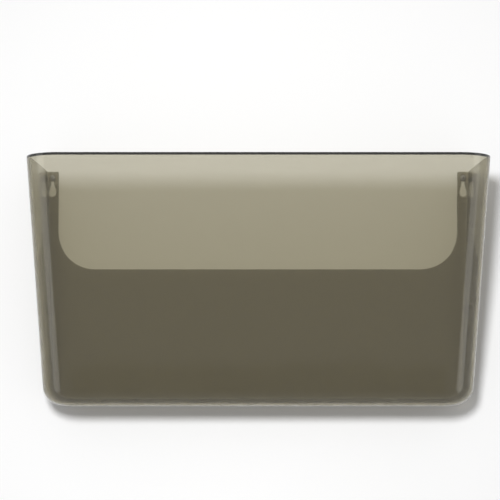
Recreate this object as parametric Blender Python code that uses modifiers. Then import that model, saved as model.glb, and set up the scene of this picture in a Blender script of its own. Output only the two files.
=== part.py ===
# Hanging document pocket: a one-piece moulded pocket that hooks over two wall screws.
#
# Frame: +Z up, +X to the right as seen from the room, and the pocket's open front faces -Y.
# The wall is the plane y = 0. The origin is on the back of the pocket, midway across and
# at mount_height above the underside. All lengths are in metres.

import math

import bmesh
import bpy
from mathutils import Matrix, Vector

# Pocket, outside
rim_width = 0.3302
rim_depth = 0.1048
pocket_height = 0.1778
floor_width = 0.3150
floor_depth = 0.0600
wall = 0.0018
front_corner_radius = 0.0254
floor_edge_radius = 0.0138
back_inner_radius = 0.0010
mount_height = 0.0500

# Finger cut-out in the back wall, which leaves an ear at each side
cutout_drop = 0.0752
cutout_radius = 0.0295

# Keyholes, one in each ear: a round hole for the screw's head, drawn in to a narrow slot above
head_clearance = 0.0010
slot_run = 0.0080
flare_height = 0.0065
seat_drop = 0.0048
keyhole_side_gap = 0.0003
keyhole_rim_width = 0.0017

# Low moulded pad on the outside of each side wall, near the back
pad_rise = 0.0008
pad_height = 0.0070
pad_length = 0.0200
pad_centre_height = 0.0710
pad_back_gap = 0.0040

# Screws
shank_diameter = 0.0024
screw_length = 0.0190
screw_tip_length = 0.0036
screw_head_diameter = 0.0046
screw_head_height = 0.0016

# The head's upright rim and its cross recess, as shares of the head's height and diameter
head_rim_share = 0.25
recess_depth_share = 0.5
recess_span_share = 0.52
recess_width_share = 0.13
recess_tip_share = 0.75

# Wall anchors
anchor_length = 0.0200
anchor_wall = 0.0010
anchor_end_wall = 0.0006
anchor_mouth_flare = 0.0007
anchor_mouth_height = 0.0010
anchor_barb_rise = 0.00035
anchor_split_width = 0.0009
anchor_split_share = 0.55

# Clearances, and how far a cutter runs past what it cuts
touch_gap = 0.0003
overrun = 0.0060

# Facets
corner_segments = 10
floor_segments = 6
back_segments = 4
cutout_segments = 12
hole_points = 32
turned_steps = 28
head_points = 7
anchor_barbs = 5

# Worked out from the sizes above
floor_z = -mount_height
rim_z = floor_z + pocket_height
side_slope = (rim_width - floor_width) / 2 / pocket_height
front_slope = (rim_depth - floor_depth) / pocket_height
back_edge_radius = wall + back_inner_radius
slot_width = shank_diameter + 2 * touch_gap
keyhole_diameter = screw_head_diameter + 2 * head_clearance
keyhole_travel = slot_run + keyhole_diameter / 2
screw_z = rim_z - seat_drop
keyhole_z = screw_z - keyhole_travel


def half_width_at(z):
    """Outer half width of the pocket at height z."""
    return floor_width / 2 + side_slope * (z - floor_z)


def depth_at(z):
    """Depth from the wall to the outer face of the front at height z."""
    return floor_depth + front_slope * (z - floor_z)


keyhole_x = half_width_at(keyhole_z) - wall - keyhole_side_gap - keyhole_diameter / 2
cutout_half_width = keyhole_x - keyhole_diameter / 2 - keyhole_rim_width


def clear_scene():
    for old in list(bpy.data.objects):
        bpy.data.objects.remove(old, do_unlink=True)


def new_collection(name):
    collection = bpy.data.collections.new(name)
    bpy.context.scene.collection.children.link(collection)
    return collection


def new_material(name, colour, roughness, metallic=0.0, alpha=1.0):
    material = bpy.data.materials.new(name)
    material.use_nodes = True
    material.diffuse_color = (*colour, alpha)
    shader = material.node_tree.nodes["Principled BSDF"]
    shader.inputs["Base Color"].default_value = (*colour, 1.0)
    shader.inputs["Roughness"].default_value = roughness
    shader.inputs["Metallic"].default_value = metallic
    shader.inputs["Alpha"].default_value = alpha
    return material


def object_from_bmesh(name, bm, collection):
    bmesh.ops.recalc_face_normals(bm, faces=bm.faces)
    mesh = bpy.data.meshes.new(name)
    bm.to_mesh(mesh)
    bm.free()
    built = bpy.data.objects.new(name, mesh)
    collection.objects.link(built)
    return built


def box(name, low, high, collection):
    """A box between two opposite corners."""
    low, high = Vector(low), Vector(high)
    bm = bmesh.new()
    bmesh.ops.create_cube(bm, size=1.0)
    bmesh.ops.scale(bm, vec=high - low, verts=bm.verts)
    bmesh.ops.translate(bm, vec=(low + high) / 2, verts=bm.verts)
    return object_from_bmesh(name, bm, collection)


def plate_from_outline(name, points, thickness, collection):
    """A flat outline in X and Z, made solid by half the thickness to each side of y = 0."""
    curve = bpy.data.curves.new(name + "_outline", "CURVE")
    curve.dimensions = "2D"
    curve.fill_mode = "BOTH"
    curve.extrude = thickness / 2
    spline = curve.splines.new("POLY")
    spline.points.add(len(points) - 1)
    for point, (x, z) in zip(spline.points, points):
        point.co = (x, z, 0.0, 1.0)
    spline.use_cyclic_u = True
    drawn = bpy.data.objects.new(name + "_outline", curve)
    drawn.rotation_euler.x = math.radians(90)
    collection.objects.link(drawn)

    graph = bpy.context.evaluated_depsgraph_get()
    mesh = bpy.data.meshes.new_from_object(drawn.evaluated_get(graph))
    bm = bmesh.new()
    bm.from_mesh(mesh)
    bmesh.ops.remove_doubles(bm, verts=bm.verts, dist=touch_gap / 100)
    bmesh.ops.recalc_face_normals(bm, faces=bm.faces)
    bm.to_mesh(mesh)
    bm.free()
    mesh.name = name
    plate = bpy.data.objects.new(name, mesh)
    plate.matrix_world = drawn.matrix_world
    collection.objects.link(plate)
    bpy.data.objects.remove(drawn, do_unlink=True)
    bpy.data.curves.remove(curve)
    return plate


def turned(name, profile, collection, closed=False):
    """A profile of radius and height points, spun about Z with a Screw modifier."""
    mesh = bpy.data.meshes.new(name)
    points = [(radius, 0.0, height) for radius, height in profile]
    edges = [(i, i + 1) for i in range(len(points) - 1)]
    if closed:
        edges.append((len(points) - 1, 0))
    mesh.from_pydata(points, edges, [])
    built = bpy.data.objects.new(name, mesh)
    collection.objects.link(built)
    spin = built.modifiers.new("Turn", "SCREW")
    spin.axis = "Z"
    spin.steps = turned_steps
    spin.render_steps = turned_steps
    spin.use_merge_vertices = True
    spin.merge_threshold = touch_gap / 100
    spin.use_smooth_shade = True
    return built


def mark_as_cutter(cutter):
    cutter.hide_render = True
    cutter.display_type = "WIRE"


def boolean(target, tool, operation):
    modifier = target.modifiers.new(tool.name, "BOOLEAN")
    modifier.operation = operation
    modifier.object = tool
    mark_as_cutter(tool)


def arc(centre, radius, start, end, count):
    """Points on an arc, in degrees, both ends included."""
    points = []
    for i in range(count + 1):
        angle = math.radians(start + (end - start) * i / count)
        points.append((centre[0] + radius * math.cos(angle), centre[1] + radius * math.sin(angle)))
    return points


def pocket_shell(collection):
    """The tapered tub, open above, with an even wall inside its outer faces."""
    top_z = rim_z + overrun
    bm = bmesh.new()
    bmesh.ops.create_cube(bm, size=1.0)
    for vert in bm.verts:
        z = top_z if vert.co.z > 0 else floor_z
        side = 1 if vert.co.x > 0 else -1
        depth = 0.0 if vert.co.y > 0 else depth_at(z)
        vert.co = (side * half_width_at(z), -depth, z)

    def upright(edge):
        low, high = sorted(vert.co.z for vert in edge.verts)
        return high - low > pocket_height / 2

    def on_back(edge):
        return all(abs(vert.co.y) < touch_gap for vert in edge.verts)

    def on_floor(edge):
        return all(abs(vert.co.z - floor_z) < touch_gap for vert in edge.verts)

    front_corners = [edge for edge in bm.edges if upright(edge) and not on_back(edge)]
    bmesh.ops.bevel(bm, geom=front_corners, offset=front_corner_radius, segments=corner_segments,
                    profile=0.5, affect="EDGES")
    floor_edges = [edge for edge in bm.edges if on_floor(edge) and not on_back(edge)]
    bmesh.ops.bevel(bm, geom=floor_edges, offset=floor_edge_radius, segments=floor_segments,
                    profile=0.5, affect="EDGES")
    back_edges = [edge for edge in bm.edges
                  if on_back(edge) and not all(vert.co.z > rim_z for vert in edge.verts)]
    bmesh.ops.bevel(bm, geom=back_edges, offset=back_edge_radius, segments=back_segments,
                    profile=0.5, affect="EDGES")
    lids = [face for face in bm.faces if all(vert.co.z > rim_z for vert in face.verts)]
    bmesh.ops.delete(bm, geom=lids, context="FACES_ONLY")

    shell = object_from_bmesh("pocket_body", bm, collection)
    shell.data.shade_smooth()
    shell.data.set_sharp_from_angle(angle=math.radians(35))
    thicken = shell.modifiers.new("Wall", "SOLIDIFY")
    thicken.thickness = wall
    thicken.offset = -1.0
    thicken.use_even_offset = True
    return shell


def rim_trimmer(collection):
    """A slab that cuts the walls off level at the rim."""
    reach_x = rim_width / 2 + 2 * overrun
    reach_y = rim_depth + 2 * overrun
    return box("rim_trim", (-reach_x, -reach_y, rim_z), (reach_x, overrun, rim_z + 3 * overrun), collection)


def cutout_cutter(collection):
    """The opening in the back wall: straight sides down to two round lower corners."""
    half = cutout_half_width
    low_z = rim_z - cutout_drop
    high_z = rim_z + 2 * overrun
    low_corner = arc((half - cutout_radius, low_z + cutout_radius), cutout_radius, 0, -90, cutout_segments)
    right = [(half, high_z)] + low_corner
    outline = right + [(-x, z) for x, z in reversed(right)]
    thickness = 2 * (wall + overrun)
    return plate_from_outline("back_cutout", outline, thickness, collection)


def keyhole_cutter(name, x, collection):
    """A round hole for the screw's head that draws in to the slot for the shank above it."""
    radius = keyhole_diameter / 2
    half_slot = slot_width / 2
    # The flare's straight sides leave the hole's edge where they touch it
    reach = math.hypot(half_slot, flare_height)
    touch = math.degrees(math.atan2(flare_height, half_slot) - math.acos(radius / reach))
    hole = arc((0.0, 0.0), radius, 180 - touch, 360 + touch, hole_points)
    slot_end = arc((0.0, keyhole_travel), half_slot, 0, 180, hole_points // 2)
    outline = hole + [(half_slot, flare_height)] + slot_end + [(-half_slot, flare_height)]
    cutter = plate_from_outline(name, outline, 2 * (wall + overrun), collection)
    cutter.location = (x, 0.0, keyhole_z)
    return cutter


def side_pad(name, side, collection):
    """A low raised pad on the outside of a side wall, near the back."""
    z = floor_z + pad_centre_height
    front = -(pad_back_gap + pad_length)
    half = pad_height / 2
    pad = box(name, (-wall / 2, front, -half), (pad_rise, -pad_back_gap, half), collection)
    lean = math.atan(side_slope)
    if side < 0:
        pad.data.transform(Matrix.Scale(-1, 4, Vector((1, 0, 0))))
        pad.data.flip_normals()
    pad.location = (side * half_width_at(z), 0.0, z)
    pad.rotation_euler.y = side * lean
    return pad


def wall_screw(name, x, cutters, collection):
    """A pan-head wood screw along Y, with its head in front of the ear."""
    head_radius = screw_head_diameter / 2
    shank_radius = shank_diameter / 2
    rim_height = screw_head_height * head_rim_share
    profile = [(0.0, screw_head_height)]
    for across, up in arc((0.0, 0.0), 1.0, 90, 0, head_points)[1:]:
        profile.append((head_radius * across, rim_height + (screw_head_height - rim_height) * up))
    profile += [
        (head_radius, 0.0),
        (shank_radius, 0.0),
        (shank_radius, -(screw_length - screw_tip_length)),
        (0.0, -screw_length),
    ]
    screw = turned(name, profile, collection)
    # The profile's +Z is the head's side, which looks into the room
    screw.rotation_euler.x = math.radians(90)
    screw.location = (x, -(wall + touch_gap), screw_z)

    arm = screw_head_diameter * recess_span_share / 2
    half = screw_head_diameter * recess_width_share / 2
    recess_depth = screw_head_height * recess_depth_share
    quarter = [(half, half), (half * recess_tip_share, arm), (-half * recess_tip_share, arm)]
    cross = []
    for turn in range(4):
        angle = math.radians(90 * turn)
        for px, pz in quarter:
            cross.append((px * math.cos(angle) - pz * math.sin(angle),
                          px * math.sin(angle) + pz * math.cos(angle)))
    recess = plate_from_outline(name + "_recess", cross, 2 * recess_depth, cutters)
    recess.location = (x, -(wall + touch_gap + screw_head_height), screw_z)
    boolean(screw, recess, "DIFFERENCE")
    return screw


def wall_anchor(name, x, cutters, collection):
    """A barbed sleeve that sits in the wall, its mouth flush, with its far end split."""
    bore = shank_diameter / 2 + touch_gap
    mouth_radius = bore + anchor_wall + anchor_mouth_flare
    profile = [(mouth_radius, 0.0), (bore + anchor_wall, -anchor_mouth_height)]
    pitch = (anchor_length - anchor_mouth_height) / (anchor_barbs + 1)
    for barb in range(1, anchor_barbs + 1):
        z = -anchor_mouth_height - pitch * barb
        radius = bore + anchor_wall + (anchor_end_wall - anchor_wall) * barb / (anchor_barbs + 1)
        profile += [
            (radius, z + pitch / 2),
            (radius + anchor_barb_rise, z),
            (radius, z - anchor_barb_rise),
        ]
    profile += [(bore + anchor_end_wall, -anchor_length), (bore, -anchor_length), (bore, 0.0)]
    anchor = turned(name, profile, collection, closed=True)
    anchor.rotation_euler.x = math.radians(90)
    anchor.location = (x, touch_gap, screw_z)

    half = anchor_split_width / 2
    reach = mouth_radius + overrun
    end_y = touch_gap + anchor_length
    start_y = end_y - anchor_length * anchor_split_share
    split = box(name + "_split", (x - half, start_y, screw_z - reach),
                (x + half, end_y + overrun, screw_z + reach), cutters)
    boolean(anchor, split, "DIFFERENCE")
    return anchor


def build():
    clear_scene()
    parts = new_collection("hanging_document_pocket")
    cutters = new_collection("cutters")

    smoke_plastic = new_material("smoke_plastic", (0.20, 0.19, 0.16), 0.08, alpha=0.55)
    zinc_steel = new_material("zinc_steel", (0.70, 0.69, 0.66), 0.30, metallic=1.0)
    anchor_nylon = new_material("anchor_nylon", (0.74, 0.73, 0.70), 0.45)

    pocket = pocket_shell(parts)
    pocket.data.materials.append(smoke_plastic)
    boolean(pocket, rim_trimmer(cutters), "DIFFERENCE")
    boolean(pocket, cutout_cutter(cutters), "DIFFERENCE")
    for side_name, side in (("left", -1), ("right", 1)):
        boolean(pocket, keyhole_cutter("keyhole_" + side_name, side * keyhole_x, cutters), "DIFFERENCE")
        boolean(pocket, side_pad("pad_" + side_name, side, cutters), "UNION")

        screw = wall_screw("screw_" + side_name, side * keyhole_x, cutters, parts)
        screw.data.materials.append(zinc_steel)
        anchor = wall_anchor("anchor_" + side_name, side * keyhole_x, cutters, parts)
        anchor.data.materials.append(anchor_nylon)


build()
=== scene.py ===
# Smoke-grey document pocket that hooks over two screws in the wall.
# All sizes are in metres. The wall is the plane y = 0 and the room is on the -Y side.

import math

import bmesh
import bpy
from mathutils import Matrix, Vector


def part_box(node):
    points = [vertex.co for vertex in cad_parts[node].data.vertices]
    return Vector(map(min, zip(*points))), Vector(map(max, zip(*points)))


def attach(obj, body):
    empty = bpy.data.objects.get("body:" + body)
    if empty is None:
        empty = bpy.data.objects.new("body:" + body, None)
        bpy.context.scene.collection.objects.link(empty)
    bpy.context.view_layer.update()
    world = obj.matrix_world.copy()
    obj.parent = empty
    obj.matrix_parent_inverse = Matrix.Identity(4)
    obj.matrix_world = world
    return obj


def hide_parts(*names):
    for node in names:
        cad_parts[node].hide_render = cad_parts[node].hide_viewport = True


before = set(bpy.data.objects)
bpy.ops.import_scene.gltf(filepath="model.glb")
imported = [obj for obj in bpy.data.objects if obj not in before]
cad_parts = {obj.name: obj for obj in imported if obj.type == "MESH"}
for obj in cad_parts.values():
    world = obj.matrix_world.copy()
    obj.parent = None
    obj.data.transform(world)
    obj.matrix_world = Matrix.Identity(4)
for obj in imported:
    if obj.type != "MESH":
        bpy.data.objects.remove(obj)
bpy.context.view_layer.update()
pocketLow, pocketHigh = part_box("pocket_body")
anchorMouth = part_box("anchor_right")[0].y
bpy.ops.object.select_all(action="DESELECT")
print("frame loaded")

# a point closer than this to a plane counts as lying on it
near = 0.0001
# points closer than this to each other are welded
weldGap = 0.000002


def startEdit(piece, kind="FACE"):
    bpy.ops.object.select_all(action="DESELECT")
    piece.select_set(True)
    bpy.context.view_layer.objects.active = piece
    bpy.ops.object.mode_set(mode="EDIT")
    bpy.ops.mesh.select_mode(type=kind)
    bpy.ops.mesh.select_all(action="DESELECT")


def pick(piece, kind, test):
    # kind is verts, edges or faces
    mesh = bmesh.from_edit_mesh(piece.data)
    count = 0
    for item in getattr(mesh, kind):
        wanted = bool(test(item))
        item.select_set(wanted)
        count += wanted
    mesh.select_flush_mode()
    bmesh.update_edit_mesh(piece.data)
    return count


def pickAll():
    bpy.ops.mesh.select_all(action="SELECT")


def alongY(edge):
    return abs(edge.verts[0].co.y - edge.verts[1].co.y) > near


def roundEdges(offset, steps, **settings):
    bpy.ops.mesh.bevel(offset=offset, segments=steps, profile=0.5, affect="EDGES", **settings)


def endEdit():
    bpy.ops.object.mode_set(mode="OBJECT")


def placeForGood(piece):
    bpy.ops.object.select_all(action="DESELECT")
    piece.select_set(True)
    bpy.context.view_layer.objects.active = piece
    bpy.ops.object.transform_apply(location=True, rotation=True, scale=True)


def applyModifier(piece, kind, **settings):
    bpy.context.view_layer.objects.active = piece
    modifier = piece.modifiers.new(kind.title(), kind)
    for key, value in settings.items():
        setattr(modifier, key, value)
    bpy.ops.object.modifier_apply(modifier=modifier.name)


def cutOrJoin(piece, tool, operation="DIFFERENCE"):
    applyModifier(piece, "BOOLEAN", operation=operation, object=tool, solver="EXACT")
    bpy.data.objects.remove(tool, do_unlink=True)


def block(name, low, high):
    low, high = Vector(low), Vector(high)
    bpy.ops.mesh.primitive_cube_add(size=1, location=(low + high) / 2, scale=high - low)
    made = bpy.context.object
    made.name = name
    placeForGood(made)
    return made


def mirroredCopy(piece, name):
    # the same piece on the other side of x = 0, with its own mesh
    bpy.ops.object.select_all(action="DESELECT")
    piece.select_set(True)
    bpy.context.view_layer.objects.active = piece
    bpy.ops.object.duplicate(linked=False)
    copied = bpy.context.object
    copied.name = name
    copied.data.name = name
    startEdit(copied, "VERT")
    pickAll()
    bpy.ops.transform.resize(value=(-1, 1, 1), center_override=(0, 0, 0))
    bpy.ops.mesh.flip_normals()
    endEdit()
    return copied


def tidyNormals(piece, angle, weight=80):
    startEdit(piece, "VERT")
    pickAll()
    bpy.ops.mesh.normals_make_consistent(inside=False)
    endEdit()
    bpy.ops.object.shade_smooth_by_angle(angle=math.radians(angle))
    applyModifier(piece, "WEIGHTED_NORMAL", keep_sharp=True, weight=weight)


# the pocket

pocketSizes = {
    "floorWidth": 0.3150,
    "floorDepth": 0.0600,
    "wall": 0.0018,
    "spare": 0.006,
    "frontCorner": 0.0254,
    "floorEdge": 0.0138,
    "backEdge": 0.0028,
    "cornerSteps": 20,
    "floorSteps": 12,
    "backSteps": 10,
    "sharpAngle": 55,
    "smoothAngle": 40,
    "rimSoftness": 0.0003,
    "rimSteps": 6,
    "rimBackGap": 0.0050,
    "cutSoftness": 0.0003,
    "cutSteps": 3,
    "cutReach": 0.0030,
}
cutoutSizes = {
    "drop": 0.0752,
    "radius": 0.0295,
    "halfWidth": 0.154012,
    "steps": 20,
}
keyholeSizes = {
    "across": 0.159012,
    "holeHeight": 0.1117,
    "holeRadius": 0.0033,
    "slotHalf": 0.0015,
    "slotTop": 0.1245,
    "slotRound": 0.999,
    "slotSteps": 12,
    "flareLow": 0.00095,
    "flareHalf": 0.00316,
    "flareHigh": 0.0065,
    "points": 48,
    "clearSide": 0.0045,
    "clearBelow": 0.005,
    "clearAbove": 0.001,
}
padSizes = {
    "rise": 0.0008,
    "height": 0.0070,
    "length": 0.0200,
    "centre": 0.0210,
    "backGap": 0.0040,
    "softness": 0.00035,
    "steps": 3,
}
# how far the cutting tools run past the back wall and the rim
toolReach = {
    "room": -0.008,
    "wall": 0.006,
    "rim": 0.01,
}


def makePocket():
    s = pocketSizes
    floorZ, rimZ = pocketLow.z, pocketHigh.z
    height = rimZ - floorZ
    # the walls start a little too tall and are cut level at the rim
    tall = height + s["spare"]
    rimWidth, rimDepth = pocketHigh.x - pocketLow.x, -pocketLow.y
    topWidth = s["floorWidth"] + (rimWidth - s["floorWidth"]) * tall / height
    topDepth = s["floorDepth"] + (rimDepth - s["floorDepth"]) * tall / height

    pocket = block("pocket", (-s["floorWidth"] / 2, -s["floorDepth"], floorZ),
                   (s["floorWidth"] / 2, 0, floorZ + tall))
    # draft: the sides and the front lean outwards to the rim
    startEdit(pocket, "VERT")
    pick(pocket, "verts", lambda v: v.co.z > rimZ)
    bpy.ops.transform.resize(value=(topWidth / s["floorWidth"], 1, 1), center_override=(0, 0, 0))
    pick(pocket, "verts", lambda v: v.co.z > rimZ and v.co.y < -near)
    bpy.ops.transform.translate(value=(0, s["floorDepth"] - topDepth, 0))

    def onBack(edge):
        return all(abs(v.co.y) < near for v in edge.verts)

    bpy.ops.mesh.select_mode(type="EDGE")
    pick(pocket, "edges", lambda e: abs(e.verts[0].co.z - e.verts[1].co.z) > height / 2 and not onBack(e))
    roundEdges(s["frontCorner"], s["cornerSteps"])
    pick(pocket, "edges", lambda e: all(v.co.z < floorZ + near for v in e.verts) and not onBack(e))
    roundEdges(s["floorEdge"], s["floorSteps"])
    pick(pocket, "edges", lambda e: onBack(e) and not all(v.co.z > rimZ for v in e.verts))
    roundEdges(s["backEdge"], s["backSteps"])
    bpy.ops.mesh.select_mode(type="FACE")
    pick(pocket, "faces", lambda f: all(v.co.z > rimZ for v in f.verts))
    bpy.ops.mesh.delete(type="ONLY_FACE")
    endEdit()

    applyModifier(pocket, "SOLIDIFY", thickness=s["wall"], offset=-1, use_even_offset=True)
    startEdit(pocket, "EDGE")
    pickAll()
    bpy.ops.mesh.bisect(plane_co=(0, 0, rimZ), plane_no=(0, 0, 1), clear_outer=True)
    bpy.ops.mesh.bridge_edge_loops()
    endEdit()
    print("pocket shell:", len(pocket.data.polygons), "faces")

    cutOrJoin(pocket, cutoutTool(rimZ))
    for side in (-1, 1):
        cutOrJoin(pocket, keyholeTool(side))
        cutOrJoin(pocket, slotTool(side))
        cutOrJoin(pocket, flareTool(side))
        cutOrJoin(pocket, padTool(side, floorZ, height, rimWidth), "UNION")
    softenEdges(pocket, rimZ)
    tidyNormals(pocket, s["smoothAngle"])
    print("pocket finished:", len(pocket.data.polygons), "faces")
    return pocket


def cutoutTool(rimZ):
    # the finger cut-out in the back, which leaves an ear at each side
    c = cutoutSizes
    tool = block("cutoutTool", (-c["halfWidth"], toolReach["room"], rimZ - c["drop"]),
                 (c["halfWidth"], toolReach["wall"], rimZ + toolReach["rim"]))
    startEdit(tool, "EDGE")
    pick(tool, "edges", lambda e: alongY(e) and all(v.co.z < rimZ for v in e.verts))
    roundEdges(c["radius"], c["steps"])
    endEdit()
    return tool


def keyholeTool(side):
    k = keyholeSizes
    room, wall = toolReach["room"], toolReach["wall"]
    bpy.ops.mesh.primitive_cylinder_add(vertices=k["points"], radius=k["holeRadius"], depth=wall - room,
                                        location=(side * k["across"], (room + wall) / 2, k["holeHeight"]),
                                        rotation=(math.radians(90), 0, 0))
    tool = bpy.context.object
    placeForGood(tool)
    return tool


def slotTool(side):
    k = keyholeSizes
    across, half, top = side * k["across"], k["slotHalf"], k["slotTop"]
    tool = block("slotTool", (across - half, toolReach["room"], k["holeHeight"]),
                 (across + half, toolReach["wall"], top))
    startEdit(tool, "EDGE")
    pick(tool, "edges", lambda e: alongY(e) and all(v.co.z > top - near for v in e.verts))
    roundEdges(half * k["slotRound"], k["slotSteps"])
    endEdit()
    return tool


def flareTool(side):
    # the sides of the keyhole draw in from the round hole to the slot
    k = keyholeSizes
    across, up = side * k["across"], k["holeHeight"]
    tool = block("flareTool", (across - k["flareHalf"], toolReach["room"], up + k["flareLow"]),
                 (across + k["flareHalf"], toolReach["wall"], up + k["flareHigh"]))
    startEdit(tool, "VERT")
    pick(tool, "verts", lambda v: v.co.z > up + k["flareHigh"] - near)
    bpy.ops.transform.resize(value=(k["slotHalf"] / k["flareHalf"], 1, 1), center_override=(across, 0, 0))
    endEdit()
    return tool


def padTool(side, floorZ, height, rimWidth):
    # a low moulded pad on the outside of each side wall, near the back
    p, s = padSizes, pocketSizes
    up = (p["centre"] - floorZ) / height
    outer = s["floorWidth"] / 2 + (rimWidth - s["floorWidth"]) / 2 * up
    lean = math.atan((rimWidth - s["floorWidth"]) / 2 / height)
    tool = block("padTool", (-s["wall"] / 2, -p["backGap"] - p["length"], -p["height"] / 2),
                 (p["rise"], -p["backGap"], p["height"] / 2))
    startEdit(tool, "EDGE")
    pick(tool, "edges", lambda e: all(v.co.x > 0 for v in e.verts))
    roundEdges(p["softness"], p["steps"])
    pickAll()
    if side < 0:
        bpy.ops.transform.resize(value=(-1, 1, 1), center_override=(0, 0, 0))
        bpy.ops.mesh.flip_normals()
    endEdit()
    tool.rotation_euler.y = side * lean
    tool.location = (side * outer, 0, p["centre"])
    placeForGood(tool)
    return tool


def softenEdges(pocket, rimZ):
    # the moulded edges of the rim and the cut-out are slightly rounded, and the keyholes' stay crisp
    s, c, k = pocketSizes, cutoutSizes, keyholeSizes

    def sharp(edge):
        return len(edge.link_faces) == 2 and edge.calc_face_angle(0) > math.radians(s["sharpAngle"])

    def nearKeyhole(v):
        beside = abs(abs(v.co.x) - k["across"]) < k["clearSide"]
        return beside and k["holeHeight"] - k["clearBelow"] < v.co.z < k["slotTop"] + k["clearAbove"]

    def ofRim(v):
        return v.co.z > rimZ - near and v.co.y <= -s["rimBackGap"]

    def ofCutout(v):
        return v.co.y > -s["cutReach"] and abs(v.co.x) < c["halfWidth"] + near and not nearKeyhole(v)

    startEdit(pocket, "EDGE")
    onRim = pick(pocket, "edges", lambda e: sharp(e) and all(ofRim(v) for v in e.verts))
    roundEdges(s["rimSoftness"], s["rimSteps"], clamp_overlap=False)
    onCut = pick(pocket, "edges", lambda e: sharp(e) and all(ofCutout(v) for v in e.verts))
    roundEdges(s["cutSoftness"], s["cutSteps"], clamp_overlap=False)
    endEdit()
    print("soft edges:", onRim, "on the rim,", onCut, "on the cut-out")


pocket = makePocket()


# the screws

screwSizes = {
    "headRadius": 0.0023,
    "headHeight": 0.0016,
    "headBack": -0.0021,
    "headSoft": 0.00008,
    "domeShare": 0.72,
    "domeSteps": 8,
    "shankRadius": 0.00085,
    "neckRise": 0.0003,
    "neckLength": 0.0004,
    "length": 0.0190,
    "tip": 0.0036,
    "threadRadius": 0.00118,
    "threadPitch": 0.0010,
    "threadStart": 0.0030,
    "threadSunk": 0.0002,
    "threadHalf": 0.00034,
    "threadSteps": 24,
    "across": 0.159012,
    "up": 0.1230,
    "steps": 40,
    "crossReach": 0.0012,
    "crossHalf": 0.00030,
    "crossDepth": 0.0009,
    "crossRoom": 0.001,
    "crossNarrow": (0.45, 1, 0.55),
    "crossTurn": 17,
    "smoothAngle": 35,
}


def turnProfile(name, points, steps, across, up):
    # points are (radius, y); a vertex is extruded along them and spun round the screw's axis
    bpy.ops.mesh.primitive_plane_add(size=1, location=(0, 0, 0))
    made = bpy.context.object
    made.name = name
    startEdit(made, "VERT")
    pickAll()
    bpy.ops.mesh.merge(type="CENTER")
    bpy.ops.transform.translate(value=(points[0][0], points[0][1], 0))
    for (r0, y0), (r1, y1) in zip(points, points[1:]):
        bpy.ops.mesh.extrude_region_move(TRANSFORM_OT_translate={"value": (r1 - r0, y1 - y0, 0)})
    pickAll()
    bpy.ops.mesh.spin(steps=steps, angle=2 * math.pi, center=(0, 0, 0), axis=(0, 1, 0))
    pickAll()
    bpy.ops.mesh.remove_doubles(threshold=weldGap)
    bpy.ops.mesh.normals_make_consistent(inside=False)
    endEdit()
    made.location = (across, 0, up)
    placeForGood(made)
    return made


def makeScrew():
    s = screwSizes
    back = s["headBack"]
    front = back - s["headHeight"]
    rise = s["headHeight"] * s["domeShare"]
    profile = []
    for i in range(s["domeSteps"] + 1):
        turn = math.radians(90 * i / s["domeSteps"])
        profile.append((s["headRadius"] * math.sin(turn), front + rise * (1 - math.cos(turn))))
    profile += [
        (s["headRadius"], back - s["headSoft"]),
        (s["headRadius"] - s["headSoft"], back),
        (s["shankRadius"] + s["neckRise"], back),
        (s["shankRadius"], back + s["neckLength"]),
        (s["shankRadius"], back + s["length"] - s["tip"]),
        (0.0, back + s["length"]),
    ]
    screw = turnProfile("screwRight", profile, s["steps"], s["across"], s["up"])
    cutOrJoin(screw, threadTool(back), "UNION")
    for turn in (0, 90):
        cutOrJoin(screw, crossTool(front, turn))
    tidyNormals(screw, s["smoothAngle"])
    return screw


def threadTool(back):
    # a three-sided ridge wound round the shank
    s = screwSizes
    turns = int((s["length"] - s["tip"] - s["threadStart"]) / s["threadPitch"])
    root = s["shankRadius"] - s["threadSunk"]
    corners = ((root, -s["threadHalf"]), (root, s["threadHalf"]), (s["threadRadius"], 0.0))
    bpy.ops.mesh.primitive_circle_add(vertices=3, location=(0, 0, 0))
    thread = bpy.context.object
    for v, (r, y) in zip(thread.data.vertices, corners):
        v.co = (r, 0, y)
    applyModifier(thread, "SCREW", axis="Z", angle=2 * math.pi, screw_offset=s["threadPitch"],
                  iterations=turns, steps=s["threadSteps"], render_steps=s["threadSteps"],
                  use_merge_vertices=False)
    startEdit(thread, "EDGE")
    pickAll()
    bpy.ops.mesh.fill_holes(sides=4)
    pickAll()
    bpy.ops.mesh.normals_make_consistent(inside=False)
    endEdit()
    thread.rotation_euler.x = math.radians(-90)
    thread.location = (s["across"], back + s["threadStart"], s["up"])
    placeForGood(thread)
    return thread


def crossTool(front, turn):
    # one arm of the cross recess, which narrows to the bottom
    s = screwSizes
    tool = block("crossTool", (-s["crossReach"], -s["crossRoom"], -s["crossHalf"]),
                 (s["crossReach"], s["crossDepth"], s["crossHalf"]))
    startEdit(tool, "VERT")
    pick(tool, "verts", lambda v: v.co.y > 0)
    bpy.ops.transform.resize(value=s["crossNarrow"], center_override=(0, 0, 0))
    endEdit()
    tool.rotation_euler.y = math.radians(turn + s["crossTurn"])
    tool.location = (s["across"], front, s["up"])
    placeForGood(tool)
    return tool


screwRight = makeScrew()
screwLeft = mirroredCopy(screwRight, "screwLeft")
print("screws:", len(screwRight.data.polygons), "faces each")


# the wall anchors

anchorSizes = {
    "bore": 0.0015,
    "wall": 0.0010,
    "endWall": 0.0006,
    "mouthFlare": 0.0007,
    "mouthHeight": 0.0010,
    "length": 0.0200,
    "barbs": 5,
    "barbRise": 0.00035,
    "splitWidth": 0.0009,
    "splitShare": 0.55,
    "splitReach": 0.01,
    "splitPast": 0.005,
    "softness": 0.00006,
    "softSteps": 2,
    "steps": 40,
    "smoothAngle": 35,
}


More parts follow.
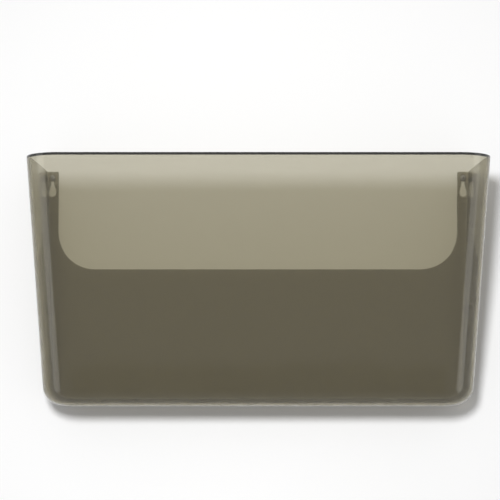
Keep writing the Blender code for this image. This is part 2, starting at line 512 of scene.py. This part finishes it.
def makeAnchor():
    a = anchorSizes
    mouth = anchorMouth
    profile = [(a["bore"], mouth), (a["bore"] + a["wall"] + a["mouthFlare"], mouth),
               (a["bore"] + a["wall"], mouth + a["mouthHeight"])]
    pitch = (a["length"] - a["mouthHeight"]) / (a["barbs"] + 1)
    for barb in range(1, a["barbs"] + 1):
        y = mouth + a["mouthHeight"] + pitch * barb
        r = a["bore"] + a["wall"] + (a["endWall"] - a["wall"]) * barb / (a["barbs"] + 1)
        profile += [(r, y - pitch / 2), (r + a["barbRise"], y), (r, y + a["barbRise"])]
    end = mouth + a["length"]
    profile += [(a["bore"] + a["endWall"], end), (a["bore"], end), (a["bore"], mouth)]
    x, z = screwSizes["across"], screwSizes["up"]
    anchor = turnProfile("anchorRight", profile, a["steps"], x, z)
    # the far end is split, so that the screw can spread it
    half = a["splitWidth"] / 2
    tool = block("splitTool", (x - half, end - a["length"] * a["splitShare"], z - a["splitReach"]),
                 (x + half, end + a["splitPast"], z + a["splitReach"]))
    cutOrJoin(anchor, tool)
    applyModifier(anchor, "BEVEL", width=a["softness"], segments=a["softSteps"], limit_method="ANGLE",
                  angle_limit=math.radians(a["smoothAngle"]))
    tidyNormals(anchor, a["smoothAngle"])
    return anchor


anchorRight = makeAnchor()
anchorLeft = mirroredCopy(anchorRight, "anchorLeft")
print("anchors:", len(anchorRight.data.polygons), "faces each")


# the materials

def newMaterial(name):
    material = bpy.data.materials.new(name)
    material.use_nodes = True
    tree = material.node_tree
    tree.nodes.clear()
    return material, tree


def addNode(tree, kind, inputs=None, **settings):
    node = tree.nodes.new(kind)
    for key, value in settings.items():
        setattr(node, key, value)
    for key, value in (inputs or {}).items():
        node.inputs[key].default_value = value
    return node


def link(tree, source, output, target, socket):
    tree.links.new(source.outputs[output], target.inputs[socket])


def addNoise(tree, scale, detail, roughness):
    # clouds in the piece's own coordinates
    coords = addNode(tree, "ShaderNodeTexCoord")
    noise = addNode(tree, "ShaderNodeTexNoise", {"Scale": scale, "Detail": detail, "Roughness": roughness})
    link(tree, coords, "Object", noise, "Vector")
    return noise


def addBump(tree, noise, strength, distance):
    bump = addNode(tree, "ShaderNodeBump", {"Strength": strength, "Distance": distance})
    link(tree, noise, "Fac", bump, "Height")
    return bump


def addRamp(tree, noise, dark, light):
    ramp = addNode(tree, "ShaderNodeValToRGB")
    ramp.color_ramp.elements[0].color = dark
    ramp.color_ramp.elements[1].color = light
    link(tree, noise, "Fac", ramp, "Fac")
    return ramp


def addMath(tree, operation, first, firstOut, second, secondOut):
    node = addNode(tree, "ShaderNodeMath", operation=operation)
    link(tree, first, firstOut, node, 0)
    link(tree, second, secondOut, node, 1)
    return node


def mixColours(tree, factor, colour, otherColour=None):
    mix = addNode(tree, "ShaderNodeMix", {6: colour}, data_type="RGBA")
    if otherColour:
        mix.inputs[7].default_value = otherColour
    link(tree, factor, 0, mix, 0)
    return mix


def mixShaders(tree, factor, output, shader, otherShader):
    mix = addNode(tree, "ShaderNodeMixShader")
    link(tree, factor, output, mix, "Fac")
    link(tree, shader, 0, mix, 1)
    link(tree, otherShader, 0, mix, 2)
    return mix


def closeTree(tree, surface, volume=None):
    output = addNode(tree, "ShaderNodeOutputMaterial")
    link(tree, surface, 0, output, "Surface")
    if volume is not None:
        link(tree, volume, 0, output, "Volume")


# waves, haze, cloud and grain are a noise's scale, detail and roughness
smokeLook = {
    "absorbColour": (0.323, 0.266, 0.028, 1),
    "absorbDensity": 493.0,
    "ior": 1.53,
    "haze": (45.0, 5.0, 0.6),
    "hazeLow": 0.35,
    "hazeHigh": 0.75,
    "roughLow": 0.02,
    "roughHigh": 0.07,
    "lampTint": (0.955, 0.955, 0.955, 1),
    "waves": (16.0, 2.0, 0.45),
    "waveStrength": 0.5,
    "waveHeight": 0.00035,
    "body": (0.985, 0.985, 0.98, 1),
    # painted shade: the dark band painted along the top of the front rim, its height, fade and reach along
    # the sides
    "paintedRimShadeColour": (0.012, 0.012, 0.010, 1),
    "paintedRimShadeBand": 0.0014,
    "paintedRimShadeFade": 0.0003,
    "paintedRimShadeStart": -0.072,
    "paintedRimShadeFull": -0.086,
}
steelLook = {
    "dark": (0.34, 0.33, 0.31, 1),
    "light": (0.56, 0.55, 0.52, 1),
    "cloud": (900.0, 4.0, 0.6),
    "roughLow": 0.50,
    "roughHigh": 0.66,
    "bumpStrength": 0.25,
    "bumpHeight": 0.00003,
}
nylonLook = {
    "dark": (0.62, 0.61, 0.57, 1),
    "light": (0.78, 0.77, 0.74, 1),
    "cloud": (350.0, 3.0, 0.5),
    "rough": 0.45,
    "bumpStrength": 0.2,
    "bumpHeight": 0.00004,
}


def smokePlastic():
    look = smokeLook
    material, tree = newMaterial("smokePlastic")
    waves = addBump(tree, addNoise(tree, *look["waves"]), look["waveStrength"], look["waveHeight"])
    haze = addNoise(tree, *look["haze"])
    rough = addNode(tree, "ShaderNodeMapRange", {"From Min": look["hazeLow"], "From Max": look["hazeHigh"],
                                                 "To Min": look["roughLow"], "To Max": look["roughHigh"]})
    link(tree, haze, "Fac", rough, "Value")
    # painted shade: a dark band painted into the base colour along the top of the front rim, standing in
    # for the dark line that its rounded edge shows
    coords = addNode(tree, "ShaderNodeTexCoord")
    spot = addNode(tree, "ShaderNodeSeparateXYZ")
    link(tree, coords, "Object", spot, "Vector")
    paintedShadeBottom = pocketHigh.z - look["paintedRimShadeBand"]
    high = addNode(tree, "ShaderNodeMapRange", {"From Min": paintedShadeBottom - look["paintedRimShadeFade"], "From Max": paintedShadeBottom})
    link(tree, spot, "Z", high, "Value")
    front = addNode(tree, "ShaderNodeMapRange", {"From Min": look["paintedRimShadeStart"], "From Max": look["paintedRimShadeFull"]})
    link(tree, spot, "Y", front, "Value")
    onRim = addMath(tree, "MULTIPLY", high, "Result", front, "Result")
    colour = mixColours(tree, onRim, look["body"], look["paintedRimShadeColour"])
    glass = addNode(tree, "ShaderNodeBsdfPrincipled", {"IOR": look["ior"], "Transmission Weight": 1.0})
    link(tree, colour, 2, glass, "Base Color")
    link(tree, rough, "Result", glass, "Roughness")
    link(tree, waves, "Normal", glass, "Normal")
    # light on its way to other surfaces passes straight through
    clear = addNode(tree, "ShaderNodeBsdfTransparent", {"Color": look["lampTint"]})
    path = addNode(tree, "ShaderNodeLightPath")
    lit = addMath(tree, "MAXIMUM", path, "Is Shadow Ray", path, "Is Diffuse Ray")
    absorb = addNode(tree, "ShaderNodeVolumeAbsorption", {"Color": look["absorbColour"],
                                                          "Density": look["absorbDensity"]})
    closeTree(tree, mixShaders(tree, lit, 0, glass, clear), absorb)
    return material


def zincSteel():
    look = steelLook
    material, tree = newMaterial("zincSteel")
    cloud = addNoise(tree, *look["cloud"])
    rough = addNode(tree, "ShaderNodeMapRange", {"To Min": look["roughLow"], "To Max": look["roughHigh"]})
    link(tree, cloud, "Fac", rough, "Value")
    shader = addNode(tree, "ShaderNodeBsdfPrincipled", {"Metallic": 1.0})
    link(tree, addRamp(tree, cloud, look["dark"], look["light"]), "Color", shader, "Base Color")
    link(tree, rough, "Result", shader, "Roughness")
    link(tree, addBump(tree, cloud, look["bumpStrength"], look["bumpHeight"]), "Normal", shader, "Normal")
    closeTree(tree, shader)
    return material


def anchorNylon():
    look = nylonLook
    material, tree = newMaterial("anchorNylon")
    cloud = addNoise(tree, *look["cloud"])
    shader = addNode(tree, "ShaderNodeBsdfPrincipled", {"Roughness": look["rough"]})
    link(tree, addRamp(tree, cloud, look["dark"], look["light"]), "Color", shader, "Base Color")
    link(tree, addBump(tree, cloud, look["bumpStrength"], look["bumpHeight"]), "Normal", shader, "Normal")
    closeTree(tree, shader)
    return material


def finish(piece, material, body, node):
    piece.data.materials.clear()
    piece.data.materials.append(material)
    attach(piece, body)
    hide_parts(node)


steel, nylon = zincSteel(), anchorNylon()
finish(pocket, smokePlastic(), "pocket", "pocket_body")
finish(screwLeft, steel, "wall_fixings", "screw_left")
finish(screwRight, steel, "wall_fixings", "screw_right")
finish(anchorLeft, nylon, "wall_fixings", "anchor_left")
finish(anchorRight, nylon, "wall_fixings", "anchor_right")
print("materials given")


# the studio: a white wall, a pale floor, a soft lamp, two side boxes and an even world

studio = {
    "wallY": 0.0004,
    "wallHalf": 1.6,
    "wallTop": 1.3,
    "wallWhite": 0.978,
    # painted shade across the wall, darker toward the lamp's corner
    "wallPaintedShade": (0.14, 0, -0.19),
    "wallBounce": 0.80,
    "wallGrain": (260.0, 3.0, 0.5),
    "wallBumpStrength": 0.08,
    "wallBumpHeight": 0.0002,
    "floorZ": -0.90,
    "floorReach": -2.3,
    "floorCloud": (40.0, 4.0, 0.5),
    "floorDark": (0.74, 0.74, 0.73, 1),
    "floorLight": (0.80, 0.80, 0.79, 1),
    "floorMean": 0.77,
    "floorSeen": 0.85,
    "keyPower": 6.65,
    "keySize": 0.144,
    "keyPlace": (-0.10, -0.95, 0.18),
    "keyAim": (0.0, 0.0, 0.03),
    "sidePower": 1.60,
    "sideSize": (0.52, 0.90),
    "sidePlace": (1.15, -0.44, -0.42),
    "worldLevel": 0.40,
}


def seenRay(tree):
    # 1 for what the camera sees, straight, mirrored or through the plastic, and 0 for light on its way
    path = addNode(tree, "ShaderNodeLightPath")
    first = addMath(tree, "MAXIMUM", path, "Is Camera Ray", path, "Is Transmission Ray")
    return addMath(tree, "MAXIMUM", first, 0, path, "Is Glossy Ray")


def wallPaint():
    # seen from the front it is white paint; from behind it isn't there, so that the back can be looked at
    s = studio
    material, tree = newMaterial("wallPaint")
    # painted shade: the paint is a touch darker toward the lamp's corner, so that the lamp's brighter pool
    # there comes out even
    coords = addNode(tree, "ShaderNodeTexCoord")
    paintedShadeAmount = addNode(tree, "ShaderNodeVectorMath", {1: s["wallPaintedShade"]}, operation="DOT_PRODUCT")
    link(tree, coords, "Object", paintedShadeAmount, 0)
    white = addNode(tree, "ShaderNodeMath", {1: s["wallWhite"]}, operation="ADD", use_clamp=True)
    link(tree, paintedShadeAmount, "Value", white, 0)
    colour = mixColours(tree, seenRay(tree), (s["wallBounce"], s["wallBounce"], s["wallBounce"], 1))
    link(tree, white, 0, colour, 7)
    paint = addNode(tree, "ShaderNodeBsdfDiffuse")
    link(tree, colour, 2, paint, "Color")
    bump = addBump(tree, addNoise(tree, *s["wallGrain"]), s["wallBumpStrength"], s["wallBumpHeight"])
    link(tree, bump, "Normal", paint, "Normal")
    side = addNode(tree, "ShaderNodeNewGeometry")
    clear = addNode(tree, "ShaderNodeBsdfTransparent")
    closeTree(tree, mixShaders(tree, side, "Backfacing", paint, clear))
    return material


def floorPaint():
    # seen, it has a fixed level, so that it stays pale in every view
    s = studio
    material, tree = newMaterial("floorPaint")
    ramp = addRamp(tree, addNoise(tree, *s["floorCloud"]), s["floorDark"], s["floorLight"])
    paint = addNode(tree, "ShaderNodeBsdfDiffuse")
    link(tree, ramp, "Color", paint, "Color")
    seen = addNode(tree, "ShaderNodeEmission", {"Strength": s["floorSeen"] / s["floorMean"]})
    link(tree, ramp, "Color", seen, "Color")
    closeTree(tree, mixShaders(tree, seenRay(tree), 0, paint, seen))
    return material


def addBackdrop(name, material, **placing):
    bpy.ops.mesh.primitive_plane_add(size=1, **placing)
    backdrop = bpy.context.object
    backdrop.name = name
    placeForGood(backdrop)
    backdrop.data.materials.append(material)


def addLamp(name, shape, power, size, place):
    lamp = bpy.data.lights.new(name, "AREA")
    lamp.shape = shape
    lamp.size, lamp.size_y = size
    lamp.energy = power
    holder = bpy.data.objects.new(name, lamp)
    bpy.context.scene.collection.objects.link(holder)
    holder.location = place
    holder.visible_camera = False
    return holder


def makeStudio():
    s = studio
    addBackdrop("wall", wallPaint(), location=(0, s["wallY"], (s["wallTop"] + s["floorZ"]) / 2),
                rotation=(math.radians(90), 0, 0), scale=(2 * s["wallHalf"], s["wallTop"] - s["floorZ"], 1))
    addBackdrop("floor", floorPaint(), location=(0, s["floorReach"] / 2, s["floorZ"]),
                scale=(2 * s["wallHalf"], -s["floorReach"], 1))

    key = addLamp("key", "DISK", s["keyPower"], (s["keySize"], s["keySize"]), s["keyPlace"])
    key.rotation_euler = (Vector(s["keyAim"]) - key.location).to_track_quat("-Z", "Y").to_euler()
    key.visible_glossy = False
    key.visible_transmission = False
    # a tall soft box at each side, for the long reflections on the rounded corners
    across, along, up = s["sidePlace"]
    for side in (-1, 1):
        box = addLamp("side", "RECTANGLE", s["sidePower"], s["sideSize"], (side * across, along, up))
        box.rotation_euler = (math.radians(90), 0, math.radians(90 * side))
        box.visible_diffuse = False

    world = bpy.data.worlds.new("studioAir")
    world.use_nodes = True
    bpy.context.scene.world = world
    # an even light, and a plain white where it is looked at
    tree = world.node_tree
    strength = addNode(tree, "ShaderNodeMapRange", {"To Min": s["worldLevel"], "To Max": 1.0})
    link(tree, seenRay(tree), 0, strength, "Value")
    link(tree, strength, "Result", tree.nodes["Background"], "Strength")
    tree.nodes["Background"].inputs["Color"].default_value = (1, 1, 1, 1)


makeStudio()
print("studio ready")


# the camera

cameraValues = {
    "lens": 94.44,
    "sensor": 36,
    "place": (-0.00616, -1.00661, -0.00792),
    "tilt": 4.284,
    "yaw": -0.0086,
}

cameraData = bpy.data.cameras.new("camera")
cameraData.lens = cameraValues["lens"]
cameraData.sensor_width = cameraValues["sensor"]
camera = bpy.data.objects.new("camera", cameraData)
bpy.context.scene.collection.objects.link(camera)
camera.location = cameraValues["place"]
camera.rotation_euler = (math.radians(90 + cameraValues["tilt"]), 0, math.radians(cameraValues["yaw"]))
bpy.context.scene.camera = camera
bpy.context.scene.view_settings.view_transform = "Standard"

print("scene ready")
